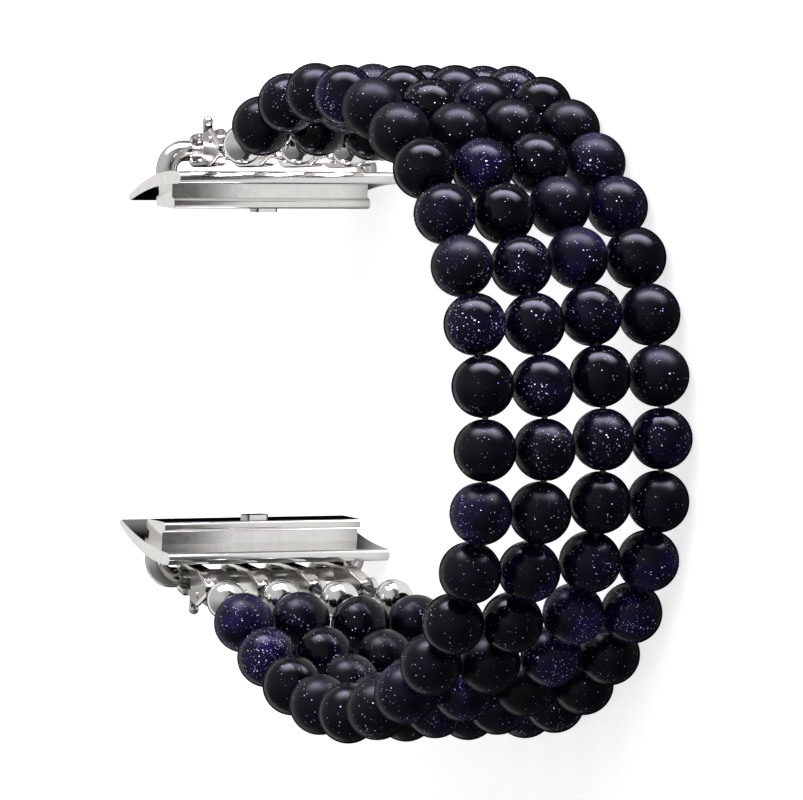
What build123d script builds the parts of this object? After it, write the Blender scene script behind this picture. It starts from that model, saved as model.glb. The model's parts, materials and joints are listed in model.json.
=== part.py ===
from build123d import *
from math import atan2, cos, degrees, pi, radians, sin, sqrt, tan
import os

# Bead watch band: four strands of round stone beads on elastic, each strand ending in a silver bead
# and a small lobster claw. The claws hook over the cross bar of two metal adapters, and each
# adapter has a rail that slides into a long slot. Sizes are in millimetres, angles in degrees.
#
# The band lies on its side. X runs from the adapters towards the far side of the loop, Y from the
# lower adapter to the upper one, and Z up, along the cross bars. Every bend of a strand turns
# about a vertical line, so the band keeps its shape when it stands on the floor.

# Beads and strands
bead_diameter = 6.0
bead_gap = 0.1
bead_bore = 1.1
strand_count = 4
strand_spacing = 6.4
strand_stagger = 0.45
stagger_shares = (1, 1, -1, -1)

# Course of the loop: how many row joints, and the bend at each of them, from the upper end down
bend_zones = ((2, 12.5), (2, 10.2), (2, 11.3), (4, 9.8), (2, 11.9), (3, 13.6), (3, 11.7), (2, 10.6), (2, 7.7))
clasp_direction = 4.0
eye_bend = 6.0
end_bead_bend = 22.0

# Elastic cord and its crimp
cord_diameter = 0.6
cord_leg_offset = 0.38
cord_tail = 0.75
cord_loop_half_width = 0.7
cord_loop_run = 1.2
cord_lead = 0.45
cord_round_share = 0.45
crimp_length = 1.5
crimp_clearance = 0.05
cord_clearance = 0.04

# Silver end bead
end_bead_diameter = 4.0
end_bead_bore = 2.0
end_bead_gap = 0.2
end_bead_reach = 3.7

# Cross bar, a spring bar: a tube with a sprung tip at each end
bar_diameter = 1.5
bar_wall = 0.25
bar_lip_length = 0.3
bar_lip_bore = 0.84
bar_end_gap = 0.05
tip_diameter = 0.76
tip_shoulder_diameter = 0.92
tip_shoulder_length = 1.4
tip_reach = 1.1
tip_point = 0.1
tip_shoulder_gap = 0.03
tip_travel = 1.15
bar_spring_wire = 0.14
bar_spring_diameter = 0.78
bar_spring_turns = 8
spring_end_gap = 0.05

# Lobster claw
claw_spacing = 5.15
claw_reach = 8.7
claw_thickness = 1.7
claw_edge_round = 0.25
hook_clearance = 0.3
hook_wall = 0.6
hook_tip_x = 0.95
throat_length = 2.2
claw_body_radius = 1.9
claw_body_x = 4.75
claw_body_y = 0.3
claw_neck_radius = 0.7
claw_neck_back = 1.0
eye_hole = 1.3
eye_wall = 0.4
eye_thickness = 0.6
lever_slot_width = 0.9
lever_slot_floor = 0.6
lever_slot_end = 6.9

# Trigger lever, its rivet and its leaf spring
pivot_x = 5.3
pivot_y = 1.0
lever_thickness = 0.8
lever_hub_radius = 0.62
gate_tip_radius = 0.27
gate_tip_gap = 0.1
gate_tip_y = 1.36
knob_radius = 0.52
knob_x = 2.4
knob_y = 2.95
knob_neck_radius = 0.3
rivet_diameter = 0.6
rivet_clearance = 0.04
rivet_head_radius = 0.45
rivet_head_height = 0.14
leaf_thickness = 0.12
leaf_width = 0.7
leaf_root_x = 6.7
leaf_root_y = -0.5
leaf_bend_x = 5.7
leaf_bend_y = -0.32
leaf_tip_x = 4.2
leaf_tip_y = 0.48

# Adapter: a curved plate with two legs that carry the cross bar
plate_depth = 10.7
plate_drop = 2.9
plate_thickness = 1.25
plate_tip_thickness = 0.7
bar_to_plate_edge = 4.9
bar_height = 1.8
leg_diameter = 2.1
leg_elbow = 1.9
leg_inset = 0.1
leg_gap = 0.2
leg_end_round = 0.2
leg_bore = 0.9
leg_bore_depth = 1.4

# Rail under the plate, which slides into a slot, and its sprung latch
rail_length = 22.4
rail_back_from_edge = 5.5
rail_neck_width = 3.0
rail_neck_height = 0.45
rail_head_width = 4.2
rail_head_height = 1.1
rail_edge_round = 0.45
latch_length = 3.0
latch_width = 1.3
latch_fit = 0.1
latch_flange = 0.4
latch_flange_height = 0.4
latch_floor = 0.6
latch_flange_room = 1.3
latch_seat_gap = 0.03
latch_reach = 0.45
latch_spring_wire = 0.15
latch_spring_diameter = 1.2
latch_spring_turns = 2

# One overrun for every cut that goes right through
overrun = 1.0

# Derived sizes
bead_radius = bead_diameter / 2
bead_pitch = bead_diameter + bead_gap
row_bends = [bend for count, bend in bend_zones for _ in range(count)]
row_count = len(row_bends) + 1
band_width = (strand_count - 1) * strand_spacing + bead_diameter
cord_radius = cord_diameter / 2
end_bead_radius = end_bead_diameter / 2
end_link = end_bead_reach + end_bead_radius + end_bead_gap / 2
bar_radius = bar_diameter / 2
hook_inner = bar_radius + hook_clearance
hook_outer = hook_inner + hook_wall
eye_radius = eye_hole / 2 + eye_wall
claw_half = claw_thickness / 2
outer_claw = (strand_count - 1) / 2 * claw_spacing
cant_run = claw_reach + end_link
cant_slope = (strand_spacing - claw_spacing) / cant_run
outer_cant = (strand_count - 1) / 2 * cant_slope
leg_face = outer_claw + claw_half + hook_outer * outer_cant + leg_gap
bar_half = leg_face - bar_end_gap
leg_radius = leg_diameter / 2
leg_height = band_width / 2 - leg_inset - leg_radius
plate_radius = (plate_depth**2 + plate_drop**2) / (2 * plate_drop)


def strand_levels(spacing):
    """Heights of the strands, or of what is on them, for a spacing between neighbours."""
    middle = (strand_count - 1) / 2
    return [(middle - k) * spacing for k in range(strand_count)]


strand_z = strand_levels(strand_spacing)
claw_z = strand_levels(claw_spacing)
cants = [degrees(atan2(strand_z[k] - claw_z[k], cant_run)) for k in range(strand_count)]
stagger = [strand_stagger * stagger_shares[k % len(stagger_shares)] for k in range(strand_count)]


def step(point, direction, length):
    """The point that lies a length away in a direction of the XY plane."""
    turn = radians(direction)
    return (point[0] + length * cos(turn), point[1] + length * sin(turn))


# The chain from the upper cross bar to the lower one: each link has a start and a direction
upper_bar = (0, 0)
upper_end_direction = clasp_direction + eye_bend
row_directions = [upper_end_direction + end_bead_bend]
for bend in row_bends:
    row_directions.append(row_directions[-1] - bend)
lower_end_direction = row_directions[-1] + end_bead_bend
lower_clasp_direction = lower_end_direction + eye_bend

upper_eye = step(upper_bar, clasp_direction, claw_reach)
row_starts = [step(upper_eye, upper_end_direction, end_link)]
for direction in row_directions:
    row_starts.append(step(row_starts[-1], direction, bead_pitch))
row_end = row_starts.pop()
lower_eye = step(row_end, lower_end_direction, end_link)
lower_bar = step(lower_eye, lower_clasp_direction, claw_reach)


def hull_of(*circles):
    """The face inside the tightest line round some circles, each given as x, y and radius."""
    outlines = [Pos(x, y) * Circle(radius) for x, y, radius in circles]
    return make_hull(ShapeList(edge for outline in outlines for edge in outline.edges()))


def slab(face, height):
    """A face made solid, with its middle at the level zero."""
    return extrude(face, height / 2, both=True)


def rod(radius, low, high):
    """A round rod along Z between two levels."""
    return Pos(0, 0, (low + high) / 2) * Cylinder(radius, high - low)


def bored_ball(diameter, bore):
    """A ball with a hole through it along X."""
    return Rot(0, 90, 0) * (Sphere(diameter / 2) - Cylinder(bore / 2, diameter + overrun))


def coil(diameter, wire, height, turns):
    """A spring of round wire that stands on the level zero, as one unbroken tube."""
    rise = height - wire
    path = Helix(rise / turns, rise, diameter / 2)
    return Pos(0, 0, wire / 2) * sweep((path ^ 0) * Circle(wire / 2), path, is_frenet=True)


def make_crimp():
    """The tube that holds the two legs of the cord, inside the silver bead."""
    tube = Cylinder(end_bead_bore / 2 - crimp_clearance, crimp_length)
    hole = Cylinder(cord_radius + cord_clearance, crimp_length + overrun)
    tube -= Pos(cord_leg_offset, 0, 0) * hole
    tube -= Pos(-cord_leg_offset, 0, 0) * hole
    return Rot(0, 90, 0) * tube


def claw_outline():
    """The side view of a claw: the hook round the bar at the origin, the body and the neck."""
    body = (claw_body_x, claw_body_y, claw_body_radius)
    neck = (claw_reach - claw_neck_back, 0, claw_neck_radius)
    throat = hull_of((0, 0, hook_inner), (throat_length, 0, hook_inner))
    window_length = throat_length + hook_inner - hook_tip_x
    window_height = claw_body_radius + overrun
    window = Pos(hook_tip_x + window_length / 2, window_height / 2) * Rectangle(window_length, window_height)
    return hull_of((0, 0, hook_outer), body) + hull_of(body, neck) - throat - window


def make_claw():
    """One cast claw with its eye, the slot for the lever and the hole for the rivet."""
    claw = slab(claw_outline(), claw_thickness)
    faces = claw.faces().filter_by(Axis.Z)
    claw = fillet(faces.edges(), claw_edge_round)
    eye = Pos(claw_reach, 0) * slab(Circle(eye_radius), eye_thickness)
    claw = claw + eye - Pos(claw_reach, 0) * slab(Circle(eye_hole / 2), claw_thickness + overrun)
    slot_length = lever_slot_end - throat_length
    slot_height = lever_slot_floor + claw_body_y + claw_body_radius + overrun
    slot = Box(slot_length, slot_height, lever_slot_width)
    claw -= Pos(throat_length + slot_length / 2, slot_height / 2 - lever_slot_floor) * slot
    return claw - Pos(pivot_x, pivot_y) * slab(Circle(rivet_diameter / 2), claw_thickness + overrun)


def make_lever():
    """The trigger: a hub on the rivet, the gate that closes the hook and the knob for the thumb."""
    gate_tip_x = hook_tip_x + gate_tip_gap + gate_tip_radius
    hub = (pivot_x, pivot_y, lever_hub_radius)
    gate = hull_of(hub, (gate_tip_x, gate_tip_y, gate_tip_radius))
    neck = hull_of((knob_x, gate_tip_y, knob_neck_radius), (knob_x, knob_y, knob_neck_radius))
    lever = slab(gate + neck, lever_thickness) + Pos(knob_x, knob_y) * Sphere(knob_radius)
    hole = slab(Circle(rivet_diameter / 2 + rivet_clearance), claw_thickness + overrun)
    return lever - Pos(pivot_x, pivot_y) * hole


def make_rivet():
    """The pin of the lever, with a low dome at each side of the claw."""
    head = rod(rivet_head_radius, claw_half, claw_half + rivet_head_height)
    head = fillet(head.faces().sort_by(Axis.Z)[-1].edges(), rivet_head_height / 2)
    rivet = slab(Circle(rivet_diameter / 2), claw_thickness) + head + mirror(head, Plane.XY)
    return Pos(pivot_x, pivot_y) * rivet


def make_leaf_spring():
    """The bent leaf under the lever, which lifts the gate against the hook."""
    line = ThreePointArc((leaf_root_x, leaf_root_y), (leaf_bend_x, leaf_bend_y), (leaf_tip_x, leaf_tip_y))
    return slab(trace(line, leaf_thickness), leaf_width)


def make_bar_tube():
    """The tube of the cross bar, with a lip at each end that keeps the tip in."""
    bore = rod(bar_radius - bar_wall, bar_lip_length - bar_half, bar_half - bar_lip_length)
    lip_bore = rod(bar_lip_bore / 2, -bar_half - overrun, bar_half + overrun)
    return rod(bar_radius, -bar_half, bar_half) - bore - lip_bore


def make_bar_tip():
    """The upper tip of the cross bar, pushed out into the leg as far as its shoulder lets it."""
    shoulder_top = bar_half - bar_lip_length - tip_shoulder_gap
    shoulder = rod(tip_shoulder_diameter / 2, shoulder_top - tip_shoulder_length, shoulder_top)
    tip = rod(tip_diameter / 2, shoulder_top - tip_shoulder_length, bar_half + tip_reach)
    tip = chamfer(tip.faces().sort_by(Axis.Z)[-1].edges(), tip_point)
    return tip + shoulder


def make_bar_spring():
    """The spring between the two tips, inside the tube."""
    half = bar_half - bar_lip_length - tip_shoulder_gap - tip_shoulder_length - spring_end_gap
    return Pos(0, 0, -half) * coil(bar_spring_diameter, bar_spring_wire, 2 * half, bar_spring_turns)


def bow(reach):
    """How far the bowed plate has dropped at a reach from its edge."""
    return plate_radius - sqrt(plate_radius**2 - reach**2)


def plate_face():
    """The side view of the plate, with the bar at the origin: a shallow bow that thins to its tip."""
    edge_x = bar_to_plate_edge
    tip_x = edge_x - plate_depth
    middle_x = edge_x - plate_depth / 2
    middle_drop = bow(plate_depth / 2)
    top = -bar_height
    outer = ThreePointArc((edge_x, top), (middle_x, top - middle_drop), (tip_x, top - plate_drop))
    inner_tip = top - plate_drop - plate_tip_thickness
    inner_middle = top - middle_drop - plate_thickness
    inner = ThreePointArc((tip_x, inner_tip), (middle_x, inner_middle), (edge_x, top - plate_thickness))
    round_tip = (tip_x - plate_tip_thickness / 2, (top - plate_drop + inner_tip) / 2)
    tip = ThreePointArc((tip_x, top - plate_drop), round_tip, (tip_x, inner_tip))
    round_edge = (edge_x + plate_thickness / 2, top - plate_thickness / 2)
    edge = ThreePointArc((edge_x, top - plate_thickness), round_edge, (edge_x, top))
    return make_face([outer, tip, inner, edge])


def make_leg():
    """The upper leg: a round rod that rises from the plate, bends over and ends in a bored face."""
    foot = -bar_height - plate_thickness
    path = FilletPolyline((0, foot, leg_height), (0, 0, leg_height), (0, 0, leg_face), radius=leg_elbow)
    leg = sweep(Plane(path @ 0, z_dir=(0, 1, 0)) * Circle(leg_radius), path)
    end_face = leg.faces().sort_by(Axis.Z)[0]
    leg = fillet(end_face.edges(), leg_end_round)
    return leg - rod(leg_bore / 2, leg_face - overrun, leg_face + leg_bore_depth)


def rail_place():
    """The middle of the rail's outer face. The neck is shortest where the plate has bowed most."""
    bowed = bow(rail_back_from_edge + rail_neck_width / 2)
    depth = bar_height + plate_thickness + bowed + rail_neck_height + rail_head_height
    return bar_to_plate_edge - rail_back_from_edge, -depth


def rail_face():
    """The end view of the rail: a neck under the plate and a wider head with round edges."""
    x, face = rail_place()
    head = RectangleRounded(rail_head_width, rail_head_height, rail_edge_round)
    middle = face + rail_head_height / 2
    neck_height = -bar_height - bow(rail_back_from_edge) - plate_thickness / 2 - middle
    neck = Pos(0, neck_height / 2) * Rectangle(rail_neck_width, neck_height)
    return Pos(x, middle) * (head + neck)


def pocket(length, width, bottom, height):
    """A round-ended block that stands on a level of the rail, with its length along Z."""
    x, face = rail_place()
    block = extrude(SlotOverall(length, width, rotation=90), height)
    return Pos(x, face + bottom, 0) * Rot(-90, 0, 0) * block


def make_adapter():
    """The plate with its two legs and the rail under it, one casting with a pocket for the latch."""
    stem_room = pocket(latch_length + latch_fit, latch_width + latch_fit, -overrun, overrun + latch_floor)
    flange_fit = 2 * latch_flange + latch_fit
    flange_room = pocket(latch_length + flange_fit, latch_width + flange_fit, latch_floor, latch_flange_room)
    leg = make_leg()
    body = slab(plate_face(), band_width) + slab(rail_face(), rail_length) - stem_room - flange_room
    return body + leg + mirror(leg, Plane.XY)


def make_latch():
    """The latch button, which stands out of the rail and is pressed in by the wall of the slot."""
    level = latch_floor + latch_seat_gap
    stem = pocket(latch_length, latch_width, -latch_reach, latch_reach + level + latch_flange_height)
    brim = 2 * latch_flange
    return stem + pocket(latch_length + brim, latch_width + brim, level, latch_flange_height)


def make_latch_spring():
    """The small coil between the latch and the ceiling of its pocket."""
    x, face = rail_place()
    foot = latch_seat_gap + latch_flange_height + spring_end_gap
    height = latch_flange_room - foot - spring_end_gap
    spring = coil(latch_spring_diameter, latch_spring_wire, height, latch_spring_turns)
    return Pos(x, face + latch_floor + foot, 0) * Rot(-90, 0, 0) * spring


def clasp_places(bar, direction, side):
    """Where each claw stands: on the bar, canted towards its strand. side is -1 at the lower end."""
    turn = Rot(0, 0, direction)
    flip = Rot(180, 0, 0) if side < 0 else Rot(0, 0, 0)
    places = []
    for k in range(strand_count):
        level = claw_z[k]
        cant = Rot(0, -cants[k], 0)
        places.append(Pos(bar[0], bar[1], level) * turn * cant * flip)
    return places


def end_places(eye, direction, side):
    """Where each silver bead stands, beyond the eye of its claw."""
    places = []
    for k in range(strand_count):
        slope = tan(radians(cants[k]))
        reach = end_bead_reach + side * stagger[k]
        x, y = step(eye, direction, reach)
        level = claw_z[k] + slope * (claw_reach + reach)
        places.append(Pos(x, y, level) * Rot(0, 0, direction) * Rot(0, -cants[k], 0))
    return places


def group(shape, places):
    """One shape in several places."""
    return Compound([place * shape for place in places])


def bead_row(number):
    """The beads of one row, one in each strand, with their bores along the row's direction."""
    direction = row_directions[number]
    places = []
    for k in range(strand_count):
        x, y = step(row_starts[number], direction, bead_pitch / 2 + stagger[k])
        places.append(Pos(x, y, strand_z[k]) * Rot(0, 0, direction))
    return group(bored_ball(bead_diameter, bead_bore), places)


def cord_end(eye, direction, k, side):
    """The corners of the cord at one end of a strand, from the cut end to the row joint: into the
    silver bead and its crimp, round the wire of the eye, back through the crimp and out."""
    slope = tan(radians(cants[k]))
    reach = end_bead_reach + side * stagger[k]
    leg, loop = cord_leg_offset, cord_loop_half_width
    into = reach - crimp_length / 2 - cord_lead
    corners = [
        (reach + cord_tail, -leg),
        (into, -leg),
        (cord_loop_run, -loop),
        (0, -loop),
        (0, loop),
        (cord_loop_run, loop),
        (into, leg),
        (reach + cord_tail, leg),
        (end_link, 0),
    ]
    points = []
    for along, aside in corners:
        x, y = step(eye, direction, along)
        points.append(Vector(x, y, claw_z[k] + slope * (claw_reach + along) + aside))
    return points


def corner_radius(before, corner, after):
    """The largest round for a corner of the cord: a share of the shorter run, over half the turn."""
    turn = (corner - before).get_angle(after - corner)
    shorter = min((corner - before).length, (after - corner).length)
    return cord_round_share * shorter / tan(radians(turn / 2))


def make_cord(k):
    """One elastic cord as a single tube through the whole strand."""
    points = cord_end(upper_eye, upper_end_direction, k, 1)
    points += [Vector(x, y, strand_z[k]) for x, y in row_starts[1:]]
    points += reversed(cord_end(lower_eye, lower_end_direction + 180, k, -1))
    rounds = [corner_radius(*points[i - 1 : i + 2]) for i in range(1, len(points) - 1)]
    path = FilletPolyline(*points, radius=rounds)
    cord = sweep((path ^ 0) * Circle(cord_radius), path)
    ratio = cord.volume / (path.length * pi * cord_radius**2)
    print(f"cord {k + 1}: length {path.length:.1f}, volume over section times length {ratio:.4f}")
    print("  radii " + " ".join(f"{radius:.1f}" for radius in rounds))
    return cord


def end_pieces(name, bar, clasp_way, eye, end_way, side):
    """Every piece of one end of the band: adapter, cross bar, claws and silver beads."""
    flip = Rot(180, 0, 0) if side < 0 else Rot(0, 0, 0)
    place = Pos(bar[0], bar[1], 0) * flip
    claws = clasp_places(bar, clasp_way, side)
    beads = end_places(eye, end_way, side)
    tip = make_bar_tip()
    pieces = {
        f"{name}_adapter": place * make_adapter(),
        f"{name}_latch_button": place * make_latch(),
        f"{name}_latch_spring": place * make_latch_spring(),
        f"{name}_bar_tube": place * make_bar_tube(),
        f"{name}_bar_spring": place * make_bar_spring(),
        f"{name}_bar_tip_top": Pos(bar[0], bar[1], 0) * tip,
        f"{name}_bar_tip_bottom": Pos(bar[0], bar[1], 0) * mirror(tip, Plane.XY),
        f"{name}_claws": group(make_claw(), claws),
        f"{name}_lever_rivets": group(make_rivet(), claws),
        f"{name}_lever_springs": group(make_leaf_spring(), claws),
        f"{name}_end_beads": group(bored_ball(end_bead_diameter, end_bead_bore), beads),
        f"{name}_crimps": group(make_crimp(), beads),
    }
    lever = make_lever()
    for k in range(strand_count):
        pieces[f"{name}_lever_{k + 1}"] = claws[k] * lever
    return pieces


def all_pieces():
    """Every piece of the band at rest, by name."""
    pieces = end_pieces("upper", upper_bar, clasp_direction, upper_eye, upper_end_direction, 1)
    for number in range(row_count):
        pieces[f"bead_row_{number + 1:02d}"] = bead_row(number)
    back = lower_clasp_direction + 180
    pieces.update(end_pieces("lower", lower_bar, back, lower_eye, lower_end_direction + 180, -1))
    for k in range(strand_count):
        pieces[f"elastic_cord_{k + 1}"] = make_cord(k)
    return pieces


pieces = all_pieces()

# The origin goes under the middle of the whole band, on the floor that it lies on
box = Compound(list(pieces.values())).bounding_box()
origin = Vector((box.min.X + box.max.X) / 2, (box.min.Y + box.max.Y) / 2, box.min.Z)

os.makedirs("parts", exist_ok=True)
for name, shape in pieces.items():
    export_step(Pos(-origin.X, -origin.Y, -origin.Z) * shape, f"parts/{name}.step")
print(f"{len(pieces)} nodes, box {box.size.X:.2f} x {box.size.Y:.2f} x {box.size.Z:.2f}")
print(f"upper cross bar at {-origin.X:.2f}, {-origin.Y:.2f}, {-origin.Z:.2f}")
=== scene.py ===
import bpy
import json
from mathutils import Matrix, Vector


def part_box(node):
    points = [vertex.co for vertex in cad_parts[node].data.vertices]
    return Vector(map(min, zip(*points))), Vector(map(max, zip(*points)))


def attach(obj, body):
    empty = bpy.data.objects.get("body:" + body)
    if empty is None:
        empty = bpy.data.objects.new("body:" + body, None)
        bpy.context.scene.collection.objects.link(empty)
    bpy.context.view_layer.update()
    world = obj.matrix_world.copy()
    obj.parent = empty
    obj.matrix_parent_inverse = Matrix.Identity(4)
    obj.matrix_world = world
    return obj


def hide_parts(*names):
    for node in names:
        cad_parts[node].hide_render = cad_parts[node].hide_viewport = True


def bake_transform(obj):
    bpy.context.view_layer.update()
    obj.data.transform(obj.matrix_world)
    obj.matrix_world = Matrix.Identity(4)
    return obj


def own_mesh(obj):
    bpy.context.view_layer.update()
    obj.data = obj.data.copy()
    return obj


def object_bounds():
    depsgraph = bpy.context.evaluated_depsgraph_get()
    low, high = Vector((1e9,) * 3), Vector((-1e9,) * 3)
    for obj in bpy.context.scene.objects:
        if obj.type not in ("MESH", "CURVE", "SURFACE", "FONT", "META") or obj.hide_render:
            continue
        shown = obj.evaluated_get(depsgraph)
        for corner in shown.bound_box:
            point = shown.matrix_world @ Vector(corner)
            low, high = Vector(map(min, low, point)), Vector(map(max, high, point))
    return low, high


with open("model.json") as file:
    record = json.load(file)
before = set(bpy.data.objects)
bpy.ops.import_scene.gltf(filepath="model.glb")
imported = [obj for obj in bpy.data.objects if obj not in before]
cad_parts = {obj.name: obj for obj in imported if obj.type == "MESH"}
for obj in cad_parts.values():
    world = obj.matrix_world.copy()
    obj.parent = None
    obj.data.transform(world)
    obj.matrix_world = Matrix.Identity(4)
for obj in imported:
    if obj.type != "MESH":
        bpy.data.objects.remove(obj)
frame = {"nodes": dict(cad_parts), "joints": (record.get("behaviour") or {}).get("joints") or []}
CAD_BOX = [list(corner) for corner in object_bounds()]

import json
import math

import bmesh
import bpy
import numpy as np
from bpy.props import FloatProperty, FloatVectorProperty, IntProperty, PointerProperty
from mathutils import Matrix, Vector

bl_info = {
    "name": "Bead Watch Band",
    "version": (1, 0, 0),
    "blender": (4, 5, 0),
    "location": "View3D > Sidebar > Bead Band",
    "description": "Dresses the packed bead watch band: stone beads, elastic, silver ends and fittings",
    "category": "Object",
}

MM = 0.001
WELD_DISTANCE = 1e-7
Y, Z = 1, 2
ENDS = ("upper", "lower")
JOINTS = {joint["name"]: joint for joint in frame["joints"]}
ROW_NODES = sorted(name for name in frame["nodes"] if name.startswith("bead_row_"))
CORD_NODES = sorted(name for name in frame["nodes"] if name.startswith("elastic_cord_"))
STRANDS = len(CORD_NODES)

# Mesh steps and small sizes: the rounded edge of a bore and its wall, a silver bead, how many radii
# from its middle a ball's points are looked for, and the sine under which two ways count as parallel
LIP_STEPS = 5
WALL_STEPS = 5
SILVER_EDGE = 0.1 * MM
SILVER_STEPS_ALONG = 36
SILVER_STEPS_AROUND = 56
BALL_SEARCH = 1.1
NEARLY_PARALLEL = 0.1

# The stone: the attribute with a bead's own draws, where the noise starts a cloud and where it is
# full, the chance of a speck outside a cloud and what a full cloud adds to it, a speck's least and
# most reach in cells, and the draws between which its colour changes
NATURE = "bead_nature"
GLITTER_CURVE = 1.8
CLOUD_EDGES = (0.40, 0.66)
DUST_CHANCE = 0.10
DUST_CLOUD_CHANCE = 0.9
DUST_REACH = (0.10, 0.34)
DUST_COLOUR_DRAWS = (0.3, 0.85)
FLAKE_CHANCE = 0.05
FLAKE_CLOUD_CHANCE = 0.45
FLAKE_LEAST_GLITTER = 0.35
FLAKE_REACH = (0.07, 0.22)
FLAKE_COLOUR_DRAWS = (0.6, 0.95)
FLAKE_SWING = 1.3
FLAKE_ROUGHNESS = 0.42
FLAKE_METAL = 0.4
SKIN_ROUGHNESS = (0.07, 0.38)
SKIN_SPECULAR = 0.20

# The metals: each finish has a colour, a roughness and the length and depth of its rubbing marks.
# Wear roughens and dulls all of them in patches, and the marks are drawn out along Z
METAL_FINISHES = {
    "polished_silver": ("silver", 0.07, 0.5 * MM, 0.004 * MM),
    "polished_steel": ("steel", 0.10, 0.8 * MM, 0.004 * MM),
    "turned_steel": ("wire", 0.22, 0.25 * MM, 0.004 * MM),
    "plated_clasp": ("clasp", 0.11, 0.4 * MM, 0.006 * MM),
    "spring_wire": ("wire", 0.25, 0.2 * MM, 0.003 * MM),
}
WEAR_SIZE = 0.9 * MM
WEAR_EDGES = (0.35, 0.7)
WEAR_ROUGHENS = 1.9
WEAR_DULLS = 0.9
MARK_STRETCH = 0.12
MARK_STRENGTH = 0.25

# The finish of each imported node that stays, by the first of these words that its name holds
FITTING_FINISHES = {
    "adapter": "polished_steel", "latch_button": "polished_steel", "bar_tube": "turned_steel",
    "bar_tip": "turned_steel", "claws": "plated_clasp", "lever_rivets": "plated_clasp",
    "lever_springs": "spring_wire", "crimps": "spring_wire", "lever_": "plated_clasp",
}

# The elastic: the width of its clouds, how they dull it, and its gloss and clearness
ELASTIC_CLOUD = 0.35 * MM
ELASTIC_DULLS = 0.8
ELASTIC_ROUGHNESS = (0.18, 0.4)
ELASTIC_CLEARNESS = 0.5
ELASTIC_IOR = 1.45

# The room that gloss shows: how far a direction goes aside, above or near to the camera where each
# part of the room starts and where it is full, the share of light that is left outside it, and the
# angle in radians from straight up to the middle of the strip lamp. After them the floor: its
# roughness, and the softness of its patch in gloss as a share of the patch
STRIP_FAR_EDGES = (-0.16, 0.06)
STRIP_NEAR_EDGES = (0.58, 0.04)
STRIP_TURN = 0.10
STRIP_TURN_EDGES = (0.85, 0.30)
STRIP_COLOUR = (0.72, 0.66, 1.0)
CARD_FAR_EDGES = (-0.82, -0.70)
CARD_NEAR_EDGES = (-0.34, -0.50)
CARD_ASIDE_EDGES = (0.1, -0.4)
ROOM_ASIDE_EDGES = (0.85, -0.55)
ROOM_ASIDE_LEFT = 0.25
ROOM_ABOVE_EDGES = (-0.75, 0.25)
ROOM_ABOVE_LEFT = 0.35
ROOM_FAR_EDGES = (-0.80, -0.60)
FLOOR_ROUGHNESS = 0.9
PATCH_SOFT_LENGTH = 0.4
PATCH_SOFT_WIDTH = 0.1

# Each lamp: the parts of its direction up, towards the camera and to the left, its distance, length
# and width in metres, and its colour. After them the camera: its sensor in millimetres and how far
# it sees in metres
LAMPS = {
    "key": ((0.75, 0.55, 0.35), 0.70, (0.80, 0.55), (0.96, 0.95, 1.0)),
    "fill": ((-0.7, 0.7, 0.0), 0.70, (0.30, 0.20), (1.0, 0.97, 0.94)),
}
SENSOR_WIDTH = 36.0
VIEW_DEPTH = 20.0


def joint_place(name):
    """The place of a hinge at rest, in metres."""
    return np.array(JOINTS[name]["pos_m"], dtype=float)


def row_hinge_places():
    """The hinge places along the band: the start of the first row, every row joint, the last end."""
    names = ["upper_end_bead_hinge"]
    names += [f"row_hinge_{number:02d}" for number in range(1, len(ROW_NODES))]
    names += ["lower_end_bead_hinge"]
    return [joint_place(name) for name in names]


HINGES = row_hinge_places()


class BandBeadSettings(bpy.types.PropertyGroup):
    """Sizes and colours of the stone beads."""

    diameter: FloatProperty(
        name="Bead diameter", description="Diameter of a stone bead", default=6.0 * MM, unit="LENGTH")
    bore: FloatProperty(
        name="Bore", description="Diameter of the drilled hole", default=1.1 * MM, unit="LENGTH")
    bore_round: FloatProperty(
        name="Bore edge", description="Radius that the drill edge is polished to",
        default=0.12 * MM, unit="LENGTH")
    around: IntProperty(name="Steps around", description="Mesh steps around a bead", default=64, min=16)
    along: IntProperty(name="Steps along", description="Mesh steps from hole to hole", default=40, min=12)
    glass: FloatVectorProperty(
        name="Glass colour", description="Colour of the dark glass", default=(0.0024, 0.0021, 0.0062),
        subtype="COLOR", size=3, min=0, max=1)
    glow: FloatVectorProperty(
        name="Cloud colour", description="Colour of the glittering clouds in the glass",
        default=(0.016, 0.011, 0.100), subtype="COLOR", size=3, min=0, max=1)
    speck: FloatVectorProperty(
        name="Speck colour", description="Colour of the brightest specks", default=(0.86, 0.84, 1.0),
        subtype="COLOR", size=3, min=0, max=1)
    violet: FloatVectorProperty(
        name="Violet speck colour", description="Colour of the violet specks", default=(0.36, 0.24, 0.88),
        subtype="COLOR", size=3, min=0, max=1)
    dust: FloatVectorProperty(
        name="Dust colour", description="Colour of the finest specks", default=(0.14, 0.11, 0.50),
        subtype="COLOR", size=3, min=0, max=1)
    dust_cell: FloatProperty(
        name="Dust spacing", description="Mean distance between the finest specks",
        default=0.20 * MM, unit="LENGTH")
    flake_cell: FloatProperty(
        name="Flake spacing", description="Mean distance between the large specks",
        default=0.36 * MM, unit="LENGTH")
    cloud_size: FloatProperty(
        name="Cloud size", description="Width of the denser clouds of specks",
        default=3.0 * MM, unit="LENGTH")
    seed: IntProperty(name="Seed", description="Picks how much each bead glitters", default=11, min=0)


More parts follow.
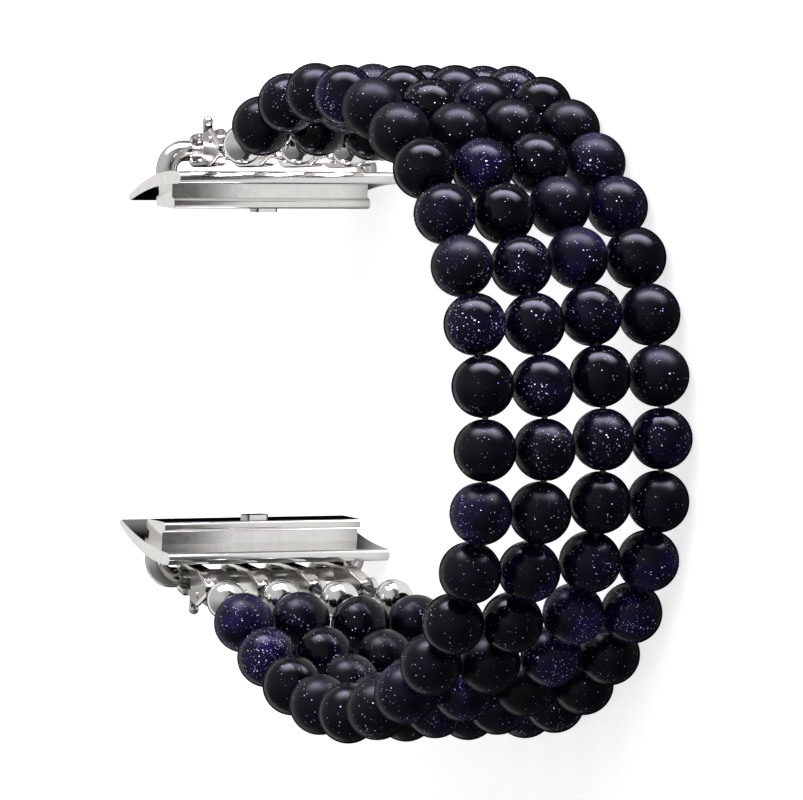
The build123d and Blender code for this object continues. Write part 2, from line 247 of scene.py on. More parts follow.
class BandMetalSettings(bpy.types.PropertyGroup):
    """Sizes and colours of the metal pieces and the elastic."""

    end_diameter: FloatProperty(
        name="Silver bead", description="Diameter of a silver end bead", default=4.0 * MM, unit="LENGTH")
    end_bore: FloatProperty(
        name="Silver bead bore", description="Diameter of the hole in a silver bead",
        default=2.0 * MM, unit="LENGTH")
    cord_diameter: FloatProperty(
        name="Elastic", description="Diameter of the elastic cord", default=0.6 * MM, unit="LENGTH")
    cord_leg_offset: FloatProperty(
        name="Leg offset", description="Half the distance between the cord's two legs in the crimp",
        default=0.38 * MM, unit="LENGTH")
    cord_loop_half_width: FloatProperty(
        name="Loop", description="Half the width of the cord's loop round the eye",
        default=0.70 * MM, unit="LENGTH")
    cord_loop_run: FloatProperty(
        name="Loop run", description="How far the loop runs wide from the eye",
        default=1.2 * MM, unit="LENGTH")
    cord_bend: FloatProperty(
        name="Cord bend", description="How far from a hinge the cord starts to bend", default=0.6 * MM,
        unit="LENGTH")
    cord_lead: FloatProperty(
        name="Lead", description="Straight run of the cord before the crimp",
        default=0.45 * MM, unit="LENGTH")
    crimp_length: FloatProperty(
        name="Crimp", description="Length of the crimp in the silver bead", default=1.5 * MM, unit="LENGTH")
    bar_spring_wire: FloatProperty(
        name="Bar spring wire", description="Diameter of the wire of a bar spring",
        default=0.14 * MM, unit="LENGTH")
    bar_spring_turns: IntProperty(
        name="Bar spring turns", description="Turns of a bar spring", default=8, min=2)
    latch_spring_wire: FloatProperty(
        name="Latch spring wire", description="Diameter of the wire of a latch spring", default=0.15 * MM,
        unit="LENGTH")
    latch_spring_turns: IntProperty(
        name="Latch spring turns", description="Turns of a latch spring", default=2, min=1)
    silver: FloatVectorProperty(
        name="Silver", description="Colour of the polished silver beads", default=(0.93, 0.92, 0.90),
        subtype="COLOR", size=3, min=0, max=1)
    steel: FloatVectorProperty(
        name="Steel", description="Colour of the polished adapters", default=(0.90, 0.885, 0.865),
        subtype="COLOR", size=3, min=0, max=1)
    clasp: FloatVectorProperty(
        name="Clasp", description="Colour of the plated claws", default=(0.90, 0.875, 0.835),
        subtype="COLOR", size=3, min=0, max=1)
    wire: FloatVectorProperty(
        name="Wire", description="Colour of springs and pins", default=(0.66, 0.64, 0.61),
        subtype="COLOR", size=3, min=0, max=1)
    # The elastic's colour is dark as painted shade from the dark beads round it.
    elastic: FloatVectorProperty(
        name="Elastic colour", description="Colour of the smoky elastic", default=(0.09, 0.09, 0.11),
        subtype="COLOR", size=3, min=0, max=1)


class BandStageSettings(bpy.types.PropertyGroup):
    """Floor, light and camera."""

    camera_place: FloatVectorProperty(
        name="Camera place", description="Where the camera stands", default=(0.69576, 0.06209, 0.38355),
        subtype="TRANSLATION", size=3)
    camera_forward: FloatVectorProperty(
        name="Camera direction", description="Where the camera looks",
        default=(-0.87985, -0.07878, -0.46867), size=3)
    camera_up: FloatVectorProperty(
        name="Camera up", description="Which way is up in the picture",
        default=(-0.08429, 0.99640, -0.00925), size=3)
    focal_pixels: FloatProperty(
        name="Focal length in pixels", description="Focal length in pixels of the picture", default=8000.0)
    picture_width: IntProperty(
        name="Picture width", description="Width of the picture in pixels", default=803)
    floor_size: FloatProperty(
        name="Floor", description="Half width of the floor", default=3.0, unit="LENGTH")
    floor_colour: FloatVectorProperty(
        name="Floor colour", description="Colour of the floor", default=(0.80, 0.80, 0.80),
        subtype="COLOR", size=3, min=0, max=1)
    floor_seen: FloatProperty(
        name="Floor glow to the camera", description="Light that the floor adds for the camera",
        default=0.72)
    floor_mirrored: FloatProperty(
        name="Floor in gloss", description="Brightness of the floor inside the band in mirrors and glass",
        default=0.8)
    floor_patch: FloatVectorProperty(
        name="Floor patch in gloss",
        description="Middle along X and half sizes along X and Y of the floor in mirrors and glass",
        default=(-11.0 * MM, 17.0 * MM, 25.0 * MM), subtype="TRANSLATION", size=3)
    key_radiance: FloatProperty(
        name="Key light", description="Brightness of the large soft box", default=2.6)
    fill_radiance: FloatProperty(
        name="Fill light", description="Brightness of the weak lamp from below", default=0.8)
    sky_level: FloatProperty(
        name="Sky", description="Brightness of the even light from all round", default=0.35)
    gloss_level: FloatProperty(
        name="Room in gloss", description="Brightness of the room in mirrors and glass",
        default=0.54)
    gloss_card: FloatProperty(
        name="Backdrop in gloss", description="Brightness of the white backdrop in mirrors and glass",
        default=0.85)
    gloss_strip: FloatProperty(
        name="Strip in gloss", description="Brightness of the strip lamp over the band in mirrors and glass",
        default=24.0)


def settings(group):
    """The named property group of the scene."""
    return getattr(bpy.context.scene, group)


def grid_mesh(name, grids):
    """A closed smooth mesh from grids of points, each an array of rows by columns by 3. Every column
    is joined to the next and the last to the first; a row meets the next one only. Points that lie
    on each other are welded, which closes seams and poles, and the faces are turned outwards."""
    points, faces, start = [], [], 0
    for grid in grids:
        rows, columns = grid.shape[:2]
        index = start + np.arange(rows * columns).reshape(rows, columns)
        after = np.roll(index, -1, axis=1)
        faces.append(np.stack([index[:-1], after[:-1], after[1:], index[1:]], axis=-1).reshape(-1, 4))
        points.append(grid.reshape(-1, 3))
        start += rows * columns
    mesh = mesh_from_arrays(name, np.concatenate(points), np.concatenate(faces))
    weld = bmesh.new()
    weld.from_mesh(mesh)
    bmesh.ops.remove_doubles(weld, verts=weld.verts, dist=WELD_DISTANCE)
    bmesh.ops.recalc_face_normals(weld, faces=weld.faces)
    weld.to_mesh(mesh)
    weld.free()
    return mesh


def mesh_from_arrays(name, points, faces):
    """A smooth-shaded mesh from an array of points and an array of faces of four corners."""
    mesh = bpy.data.meshes.new(name)
    mesh.vertices.add(len(points))
    mesh.vertices.foreach_set("co", points.astype(np.float32).ravel())
    mesh.loops.add(faces.size)
    mesh.loops.foreach_set("vertex_index", faces.astype(np.int32).ravel())
    mesh.polygons.add(len(faces))
    mesh.polygons.foreach_set("loop_start", np.arange(0, faces.size, 4, dtype=np.int32))
    mesh.polygons.foreach_set("use_smooth", np.ones(len(faces), dtype=bool))
    mesh.update(calc_edges=True)
    return mesh


def add_piece(name, mesh, material, body, replaced):
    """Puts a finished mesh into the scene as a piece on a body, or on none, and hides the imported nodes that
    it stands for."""
    piece = bpy.data.objects.new(name, mesh)
    bpy.context.scene.collection.objects.link(piece)
    mesh.materials.append(material)
    if body:
        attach(piece, body)
    if replaced:
        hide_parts(*replaced)
    return piece


def bored_ball_profile(radius, bore_radius, edge_radius, steps):
    """The closed profile of a ball with a hole through it, as distances from the axis and along it:
    the ball's meridian from hole to hole, a quarter round at each end and the wall of the bore."""
    lip = math.asin((bore_radius + edge_radius) / radius)
    polar = np.linspace(lip, math.pi - lip, steps)
    outside = np.stack([radius * np.sin(polar), -radius * np.cos(polar)], axis=1)
    bore_end = radius * math.cos(lip) - edge_radius
    turn = np.linspace(0, math.pi / 2, LIP_STEPS + 1)[1:]
    far_lip = np.stack([bore_radius + edge_radius - edge_radius * np.sin(turn),
                        bore_end + edge_radius * np.cos(turn)], axis=1)
    wall = np.stack([np.full(WALL_STEPS, bore_radius),
                     np.linspace(bore_end, -bore_end, WALL_STEPS + 2)[1:-1]], axis=1)
    near_lip = far_lip[::-1] * np.array([1, -1])
    return np.concatenate([outside, far_lip, wall, near_lip, outside[:1]])


def revolved(profile, centre, direction, steps):
    """A profile of distances from and along an axis, turned about the axis through a centre:
    point = centre + along * axis + away * (side * cos + other * sin)."""
    axis = direction / np.linalg.norm(direction)
    side = np.cross(axis, [0.0, 0.0, 1.0])
    side /= np.linalg.norm(side)
    other = np.cross(axis, side)
    turn = np.linspace(0, 2 * math.pi, steps, endpoint=False)
    ring = np.cos(turn)[:, None] * side + np.sin(turn)[:, None] * other
    return centre + profile[:, 1, None, None] * axis + profile[:, 0, None, None] * ring[None]


def ball_centres(node, radius):
    """The centres of the balls in a node, one for each strand, from the middle of each ball's points."""
    mesh = frame["nodes"][node].data
    points = np.empty(len(mesh.vertices) * 3, dtype=np.float32)
    mesh.vertices.foreach_get("co", points)
    points = points.reshape(-1, 3).astype(float)
    low, high = points[:, Z].min(), points[:, Z].max()
    centres = []
    for level in np.linspace(high - radius, low + radius, STRANDS):
        own = points[np.abs(points[:, Z] - level) < radius * BALL_SEARCH]
        centres.append((own.min(axis=0) + own.max(axis=0)) / 2)
    return centres


def new_material(name):
    """An empty node material and its principled shader."""
    material = bpy.data.materials.new(name)
    material.use_nodes = True
    tree = material.node_tree
    return material, tree, tree.nodes["Principled BSDF"]


def node(tree, kind, inputs=None, **values):
    """A node of some kind with its settings and its unlinked inputs."""
    made = tree.nodes.new(kind)
    for key, value in values.items():
        setattr(made, key, value)
    for key, value in (inputs or {}).items():
        made.inputs[key].default_value = value
    return made


def link(tree, source, target):
    """Joins an output socket to an input socket."""
    tree.links.new(source, target)


def maths(tree, operation, first, second=None, clamp=False):
    """A math node; each operand is a socket or a number."""
    made = node(tree, "ShaderNodeMath", operation=operation, use_clamp=clamp)
    for position, value in enumerate((first, second)):
        if value is None:
            continue
        if isinstance(value, (int, float)):
            made.inputs[position].default_value = value
        else:
            link(tree, value, made.inputs[position])
    return made.outputs[0]


def colour_mix(tree, share, first, second):
    """A colour that goes from the first to the second as a share goes from 0 to 1. The share is a
    socket, and each colour is a socket or three channels."""
    made = node(tree, "ShaderNodeMix", data_type="RGBA")
    link(tree, share, made.inputs["Factor"])
    ends = [socket for socket in made.inputs if socket.type == "RGBA"]
    for socket, colour in zip(ends, (first, second)):
        if isinstance(colour, bpy.types.NodeSocket):
            link(tree, colour, socket)
        else:
            socket.default_value = (*colour, 1)
    return next(socket for socket in made.outputs if socket.type == "RGBA")


def ramp(tree, value, start, end):
    """A share that goes smoothly from 0 to 1 as a value goes from its start to its end."""
    made = node(tree, "ShaderNodeMapRange", {"From Min": start, "From Max": end},
                interpolation_type="SMOOTHSTEP")
    link(tree, value, made.inputs["Value"])
    return made.outputs["Result"]


def stretched(tree, value, target=(0.0, 1.0), source=(0.0, 1.0)):
    """A value that goes evenly between two targets as another goes between its two sources."""
    made = node(tree, "ShaderNodeMapRange", {"From Min": source[0], "From Max": source[1],
                                             "To Min": target[0], "To Max": target[1]})
    link(tree, value, made.inputs["Value"])
    return made.outputs["Result"]


def mirrored_rays(tree, rays):
    """One where a mirror or glass sent a ray on, and zero elsewhere."""
    return maths(tree, "ADD", rays.outputs["Is Glossy Ray"], rays.outputs["Is Transmission Ray"], clamp=True)


def shaded(colour, level):
    """A colour with every channel multiplied by a level."""
    return [channel * level for channel in colour]


def speck_layer(tree, place, cell, chance, reach):
    """A layer of specks: a cell shows its speck where its first random channel is under a chance, and
    the speck's width follows the second one. Returns where specks are, and the cells' random colour."""
    cells = node(tree, "ShaderNodeTexVoronoi", {"Scale": 1 / cell, "Randomness": 1.0})
    link(tree, place, cells.inputs["Vector"])
    draws = node(tree, "ShaderNodeSeparateColor")
    link(tree, cells.outputs["Color"], draws.inputs["Color"])
    size = stretched(tree, draws.outputs["Green"], reach)
    near = maths(tree, "LESS_THAN", cells.outputs["Distance"], size)
    shown = maths(tree, "LESS_THAN", draws.outputs["Red"], chance)
    return maths(tree, "MULTIPLY", near, shown), cells.outputs["Color"]


def tilted_normal(tree, draw, amount):
    """The surface normal, tilted at random by the draw of a speck where the amount is one."""
    swing = node(tree, "ShaderNodeVectorMath", operation="MULTIPLY_ADD")
    link(tree, draw, swing.inputs[0])
    swing.inputs[1].default_value = (FLAKE_SWING,) * 3
    swing.inputs[2].default_value = (-FLAKE_SWING / 2,) * 3
    here = node(tree, "ShaderNodeVectorMath", operation="SCALE")
    link(tree, swing.outputs["Vector"], here.inputs[0])
    link(tree, amount, here.inputs["Scale"])
    tilted = node(tree, "ShaderNodeVectorMath", operation="ADD")
    link(tree, node(tree, "ShaderNodeNewGeometry").outputs["Normal"], tilted.inputs[0])
    link(tree, here.outputs["Vector"], tilted.inputs[1])
    unit = node(tree, "ShaderNodeVectorMath", operation="NORMALIZE")
    link(tree, tilted.outputs["Vector"], unit.inputs[0])
    return unit.outputs["Vector"]


def goldstone_material():
    """Dark glass full of fine crystals: a near-black body, clouds of dust-fine specks that glow blue,
    scattered larger flakes, each a small mirror at its own angle, and a polished skin. How much a
    bead glitters comes from its own draw in the attribute that the beads carry."""
    bead = settings("band_beads")
    material, tree, shader = new_material("goldstone_glass")
    place = node(tree, "ShaderNodeTexCoord").outputs["Object"]
    nature = node(tree, "ShaderNodeSeparateColor")
    carried = node(tree, "ShaderNodeAttribute", attribute_name=NATURE)
    link(tree, carried.outputs["Color"], nature.inputs["Color"])
    glitter, gloss, hue = (nature.outputs[name] for name in ("Red", "Green", "Blue"))
    noise = node(tree, "ShaderNodeTexNoise",
                 {"Scale": 1 / bead.cloud_size, "Detail": 3.0, "Roughness": 0.6})
    link(tree, place, noise.inputs["Vector"])
    patches = stretched(tree, noise.outputs["Fac"], source=CLOUD_EDGES)
    cloud = maths(tree, "MULTIPLY", patches, glitter)
    dust_chance = maths(tree, "ADD", maths(tree, "MULTIPLY", cloud, DUST_CLOUD_CHANCE), DUST_CHANCE)
    dust, dust_draw = speck_layer(tree, place, bead.dust_cell, dust_chance, DUST_REACH)
    flake_chance = maths(tree, "MULTIPLY", maths(tree, "ADD", glitter, FLAKE_LEAST_GLITTER), patches)
    flake_chance = maths(tree, "ADD", maths(tree, "MULTIPLY", flake_chance, FLAKE_CLOUD_CHANCE), FLAKE_CHANCE)
    flake, flake_draw = speck_layer(tree, place, bead.flake_cell, flake_chance, FLAKE_REACH)
    speck = maths(tree, "MAXIMUM", dust, flake)
    draw = colour_mix(tree, flake, dust_draw, flake_draw)
    draws = node(tree, "ShaderNodeSeparateColor")
    link(tree, draw, draws.inputs["Color"])
    body = colour_mix(tree, maths(tree, "MULTIPLY", cloud, hue), bead.glass, bead.glow)
    pick = draws.outputs["Blue"]
    bright = colour_mix(tree, ramp(tree, pick, *FLAKE_COLOUR_DRAWS), bead.speck, bead.violet)
    fine = colour_mix(tree, ramp(tree, pick, *DUST_COLOUR_DRAWS), bead.speck, bead.dust)
    colour = colour_mix(tree, speck, body, colour_mix(tree, flake, fine, bright))
    link(tree, colour, shader.inputs["Base Color"])
    link(tree, maths(tree, "MULTIPLY", speck, FLAKE_METAL), shader.inputs["Metallic"])
    skin = stretched(tree, gloss, SKIN_ROUGHNESS)
    rough = maths(tree, "MAXIMUM", skin, maths(tree, "MULTIPLY", speck, FLAKE_ROUGHNESS))
    link(tree, rough, shader.inputs["Roughness"])
    shader.inputs["Specular IOR Level"].default_value = SKIN_SPECULAR
    link(tree, tilted_normal(tree, draw, speck), shader.inputs["Normal"])
    return material


def give_nature(mesh, centres, draws):
    """Stores each ball's three draws on its points: how much it glitters, how soft its gloss is and
    how blue its clouds are. A point belongs to the ball whose level is nearest."""
    points = np.empty(len(mesh.vertices) * 3, dtype=np.float32)
    mesh.vertices.foreach_get("co", points)
    levels = np.array([centre[Z] for centre in centres])
    own = np.abs(points.reshape(-1, 3)[:, Z, None] - levels).argmin(axis=1)
    colours = np.concatenate([draws[own], np.ones((len(own), 1))], axis=1)
    layer = mesh.attributes.new(NATURE, "FLOAT_COLOR", "POINT")
    layer.data.foreach_set("color", colours.astype(np.float32).ravel())


def metal_finish(name):
    """The material of a metal finish, made when it is first asked for: polished metal with faint
    cloudy wear in its gloss and very fine rubbing marks."""
    if name in bpy.data.materials:
        return bpy.data.materials[name]
    colour_name, roughness, mark_length, mark_depth = METAL_FINISHES[name]
    colour = getattr(settings("band_metal"), colour_name)
    material, tree, shader = new_material(name)
    place = node(tree, "ShaderNodeTexCoord").outputs["Object"]
    wear = node(tree, "ShaderNodeTexNoise", {"Scale": 1 / WEAR_SIZE, "Detail": 4.0, "Roughness": 0.6})
    link(tree, place, wear.inputs["Vector"])
    rough = stretched(tree, wear.outputs["Fac"], (roughness, roughness * WEAR_ROUGHENS), WEAR_EDGES)
    link(tree, rough, shader.inputs["Roughness"])
    worn = colour_mix(tree, wear.outputs["Fac"], colour, shaded(colour, WEAR_DULLS))
    link(tree, worn, shader.inputs["Base Color"])
    shader.inputs["Metallic"].default_value = 1.0
    marks = node(tree, "ShaderNodeTexNoise", {"Scale": 1 / mark_length, "Detail": 3.0})
    stretch = node(tree, "ShaderNodeMapping")
    stretch.inputs["Scale"].default_value = (1.0, 1.0, MARK_STRETCH)
    link(tree, place, stretch.inputs["Vector"])
    link(tree, stretch.outputs["Vector"], marks.inputs["Vector"])
    bump = node(tree, "ShaderNodeBump", {"Strength": MARK_STRENGTH, "Distance": mark_depth})
    link(tree, marks.outputs["Fac"], bump.inputs["Height"])
    link(tree, bump.outputs["Normal"], shader.inputs["Normal"])
    return material


def elastic_material():
    """Stretch cord, half see-through, dark in colour as painted shade from the dark beads round it, with fine
    clouds in its colour and its gloss.
    """
    material, tree, shader = new_material("smoky_elastic")
    place = node(tree, "ShaderNodeTexCoord").outputs["Object"]
    haze = node(tree, "ShaderNodeTexNoise", {"Scale": 1 / ELASTIC_CLOUD, "Detail": 2.0})
    link(tree, place, haze.inputs["Vector"])
    colour = settings("band_metal").elastic
    clouded = colour_mix(tree, haze.outputs["Fac"], colour, shaded(colour, ELASTIC_DULLS))
    link(tree, clouded, shader.inputs["Base Color"])
    rough = stretched(tree, haze.outputs["Fac"], ELASTIC_ROUGHNESS)
    link(tree, rough, shader.inputs["Roughness"])
    shader.inputs["Transmission Weight"].default_value = ELASTIC_CLEARNESS
    shader.inputs["IOR"].default_value = ELASTIC_IOR
    return material


def tube_grid(route, radius, around=16, round_steps=4):
    """A round tube along a list of points, with a half ball at each end: at each point a ring square
    to the mean direction of the runs beside it, carried from ring to ring with the least twist."""
    route = np.asarray(route, dtype=float)
    runs = np.diff(route, axis=0)
    runs /= np.linalg.norm(runs, axis=1)[:, None]
    ways = np.concatenate([runs[:1], runs[:-1] + runs[1:], runs[-1:]])
    ways /= np.linalg.norm(ways, axis=1)[:, None]
    side = np.cross(ways[0], [0.0, 0.0, 1.0])
    if np.linalg.norm(side) < NEARLY_PARALLEL:
        side = np.cross(ways[0], [0.0, 1.0, 0.0])
    sides = []
    for way in ways:
        side = side - way * np.dot(side, way)
        side /= np.linalg.norm(side)
        sides.append(side)
    turn = np.linspace(math.pi / 2, 0, round_steps, endpoint=False)[:, None]
    first = route[0] - radius * np.sin(turn) * ways[0]
    last = (route[-1] + radius * np.sin(turn) * ways[-1])[::-1]
    middles = np.concatenate([first, route, last])
    narrowed = radius * np.cos(turn)
    widths = np.concatenate([narrowed, np.full((len(route), 1), radius), narrowed[::-1]])
    repeat = [0] * round_steps + list(range(len(route))) + [len(route) - 1] * round_steps
    sides, ways = np.array(sides)[repeat], ways[repeat]
    others = np.cross(ways, sides)
    angle = np.linspace(0, 2 * math.pi, around, endpoint=False)[None, :, None]
    ring = np.cos(angle) * sides[:, None] + np.sin(angle) * others[:, None]
    return middles[:, None] + widths[:, None] * ring


def smooth_route(corners, per_span=5):
    """A quadratic spline held by its corners: it starts and ends at the outer ones and touches every
    run between two inner corners at its middle."""
    corners = np.asarray(corners, dtype=float)
    middles = (corners[1:-2] + corners[2:-1]) / 2
    starts = np.concatenate([corners[:1], middles])
    ends = np.concatenate([middles, corners[-1:]])
    share = np.linspace(0, 1, per_span, endpoint=False)[:, None]
    spans = [(1 - share) ** 2 * a + 2 * share * (1 - share) * b + share**2 * c
             for a, b, c in zip(starts, corners[1:-1], ends)]
    return np.concatenate(spans + [corners[-1:]])


def helix(low, high, along, wire, turns, steps=20):
    """The middle line of a spring of round wire that fills a box along one of its axes: each point
    lies half the box less half the wire from the axis, and the angle grows evenly with the height."""
    across = [axis for axis in range(3) if axis != along]
    radius = (high - low)[across].min() / 2 - wire / 2
    turn = np.linspace(0, 2 * math.pi * turns, turns * steps + 1)
    points = np.tile((low + high) / 2, (len(turn), 1))
    points[:, across[0]] += radius * np.cos(turn)
    points[:, across[1]] += radius * np.sin(turn)
    points[:, along] = np.linspace(low[along] + wire / 2, high[along] - wire / 2, len(turn))
    return points


class BAND_OT_stone_beads(bpy.types.Operator):
    """Make the stone beads, one piece for each row across the band"""

    bl_idname = "band.stone_beads"
    bl_label = "Stone beads"

    def execute(self, context):
        bead = settings("band_beads")
        radius = bead.diameter / 2
        profile = bored_ball_profile(radius, bead.bore / 2, bead.bore_round, bead.along)
        material = goldstone_material()
        chance = np.random.default_rng(bead.seed)
        for number, name in enumerate(ROW_NODES):
            way = HINGES[number + 1] - HINGES[number]
            centres = ball_centres(name, radius)
            balls = [revolved(profile, centre, way, bead.around) for centre in centres]
            piece = f"stones_{number + 1:02d}"
            mesh = grid_mesh(piece, balls)
            draws = chance.random((STRANDS, 3))
            draws[:, 0] = draws[:, 0] ** GLITTER_CURVE
            give_nature(mesh, centres, draws)
            add_piece(piece, mesh, material, f"row_{number + 1:02d}", [name])
        return {"FINISHED"}


class BAND_OT_silver_beads(bpy.types.Operator):
    """Make the silver end beads, one piece for each end of the band"""

    bl_idname = "band.silver_beads"
    bl_label = "Silver end beads"

    def execute(self, context):
        metal = settings("band_metal")
        radius = metal.end_diameter / 2
        profile = bored_ball_profile(radius, metal.end_bore / 2, SILVER_EDGE, SILVER_STEPS_ALONG)
        material = metal_finish("polished_silver")
        for end in ENDS:
            name = f"{end}_end_beads"
            way = joint_place(f"{end}_end_bead_hinge") - joint_place(f"{end}_eye_hinge")
            centres = ball_centres(name, radius)
            balls = [revolved(profile, centre, way, SILVER_STEPS_AROUND) for centre in centres]
            piece = f"{end}_silver"
            add_piece(piece, grid_mesh(piece, balls), material, name, [name])
        return {"FINISHED"}


class BAND_OT_elastic(bpy.types.Operator):
    """Make the elastic cords: a span over every hinge from row to row, and a loop at each end"""

    bl_idname = "band.elastic"
    bl_label = "Elastic cords"

    def execute(self, context):
        metal = settings("band_metal")
        material = elastic_material()
        stone_radius = settings("band_beads").diameter / 2
        levels = [centre[Z] for centre in ball_centres(ROW_NODES[0], stone_radius)]
        middles = [(first + last) / 2 for first, last in zip(HINGES, HINGES[1:])]
        for number in range(1, len(ROW_NODES)):
            bend = self.bend_corners(middles[number - 1], HINGES[number], middles[number], metal.cord_bend)
            routes = [self.at_level(bend, level) for level in levels]
            self.span(f"elastic_span_{number:02d}", routes, material, f"row_{number:02d}",
                      f"row_{number + 1:02d}", bend[1], bend[3])
        for end, row, middle in ((ENDS[0], 1, middles[0]), (ENDS[1], len(ROW_NODES), middles[-1])):
            eye, hinge = joint_place(f"{end}_eye_hinge"), joint_place(f"{end}_end_bead_hinge")
            bend = self.bend_corners(eye, hinge, middle, metal.cord_bend)
            self.span(f"{end}_elastic_loops", self.loop_routes(end, levels, bend), material,
                      f"{end}_end_beads", f"row_{row:02d}", bend[1], bend[3])
        return {"FINISHED"}

    def span(self, name, routes, material, first, second, start, end):
        """One piece of the four cords, on no body, with its points baked into place; the two bodies and the
        start and end it is given are not used.
        """
        radius = settings("band_metal").cord_diameter / 2
        tubes = [tube_grid(smooth_route(route), radius) for route in routes]
        piece = add_piece(name, grid_mesh(name, tubes), material, None, CORD_NODES)
        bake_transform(piece)

    def bend_corners(self, before, hinge, after, reach):
        """The corners of a run that turns at a hinge: its ends, the hinge and a point each side of it."""
        back, on = before - hinge, after - hinge
        near = hinge + back * reach / np.linalg.norm(back[:2])
        far = hinge + on * reach / np.linalg.norm(on[:2])
        return np.array([before, near, hinge, far, after])

    def at_level(self, corners, level):
        """The same corners at one strand's height."""
        moved = corners.copy()
        moved[:, Z] = level
        return moved

    def loop_routes(self, end, levels, bend):
        """The corners of each cord at one end of the band, from its cut end: through the crimp in the
        silver bead, round the wire of the claw's eye, back through the crimp and into the first row.
        A corner lies so far from the eye along the strand and so far aside, across it."""
        metal = settings("band_metal")
        eye, row = joint_place(f"{end}_eye_hinge"), joint_place(f"{end}_end_bead_hinge")
        routes = []
        for bead, level in zip(ball_centres(f"{end}_end_beads", metal.end_diameter / 2), levels):
            target = np.array([row[0], row[1], level])
            from_bead = target - bead
            reach = np.linalg.norm((bead - eye)[:2])
            rise = from_bead[Z] / np.linalg.norm(from_bead[:2])
            start = np.array([eye[0], eye[1], bead[Z] - rise * reach])
            length = np.linalg.norm((target - start)[:2])
            along = (target - start) / length
            leg, loop = metal.cord_leg_offset, metal.cord_loop_half_width
            cut = reach + metal.crimp_length / 2
            into = reach - metal.crimp_length / 2 - metal.cord_lead
            corners = [(cut, -leg), (into, -leg), (metal.cord_loop_run, -loop), (0, -loop), (0, loop),
                       (metal.cord_loop_run, loop), (into, leg), (cut, leg), (length - metal.cord_bend, 0)]
            route = [start + far * along + np.array([0, 0, aside]) for far, aside in corners]
            routes.append(np.concatenate([route, self.at_level(bend[2:], level)]))
        return routes


class BAND_OT_fittings(bpy.types.Operator):
    """Give the adapters, cross bars, claws, levers and springs their metal finishes"""

    bl_idname = "band.fittings"
    bl_label = "Metal fittings"

    def execute(self, context):
        for name, item in frame["nodes"].items():
            finish = next((finish for word, finish in FITTING_FINISHES.items() if word in name), None)
            if finish:
                item.data.materials.clear()
                item.data.materials.append(metal_finish(finish))
        return {"FINISHED"}


class BAND_OT_coil_springs(bpy.types.Operator):
    """Make the coil springs inside, for the bar tips and the latch buttons"""

    bl_idname = "band.coil_springs"
    bl_label = "Coil springs"

    def execute(self, context):
        metal = settings("band_metal")
        for end in ENDS:
            self.bar_spring(end, metal)
            self.latch_spring(end, metal)
        return {"FINISHED"}

    def bar_spring(self, end, metal):
        """The spring of a cross bar in two halves, one for each tip."""
        low, high = self.corners(f"{end}_bar_spring")
        route = helix(low, high, Z, metal.bar_spring_wire, metal.bar_spring_turns)
        middle = len(route) // 2
        for side, half in (("bottom", route[:middle + 1]), ("top", route[middle:])):
            self.sprung(f"{end}_bar_spring_{side}", half, metal.bar_spring_wire, end, "bar_spring",
                        f"bar_tip_{side}", route[middle], (high - low)[Z] / 2)

    def latch_spring(self, end, metal):
        """The spring of a latch button."""
        low, high = self.corners(f"{end}_latch_spring")
        route = helix(low, high, Y, metal.latch_spring_wire, metal.latch_spring_turns)
        outwards = JOINTS[f"{end}_latch_button_slide"]["axis"][Y] > 0
        self.sprung(f"{end}_latch_coil", route, metal.latch_spring_wire, end, "latch_spring",
                    "latch_button", high if outwards else low, (high - low)[Y])

    def corners(self, name):
        """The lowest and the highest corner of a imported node, as arrays."""
        low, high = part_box(name)
        return np.array(low), np.array(high)

    def sprung(self, name, route, wire, end, spring, pusher, seat, length):
        """A wound wire that stands for a spring, on its end's adapter; its pusher, seat and length are not
        used.
        """
        grid = tube_grid(route, wire / 2, around=10, round_steps=3)
        piece = add_piece(name, grid_mesh(name, [grid]), metal_finish("spring_wire"), f"{end}_adapter",
                          [f"{end}_{spring}"])
        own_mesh(piece)


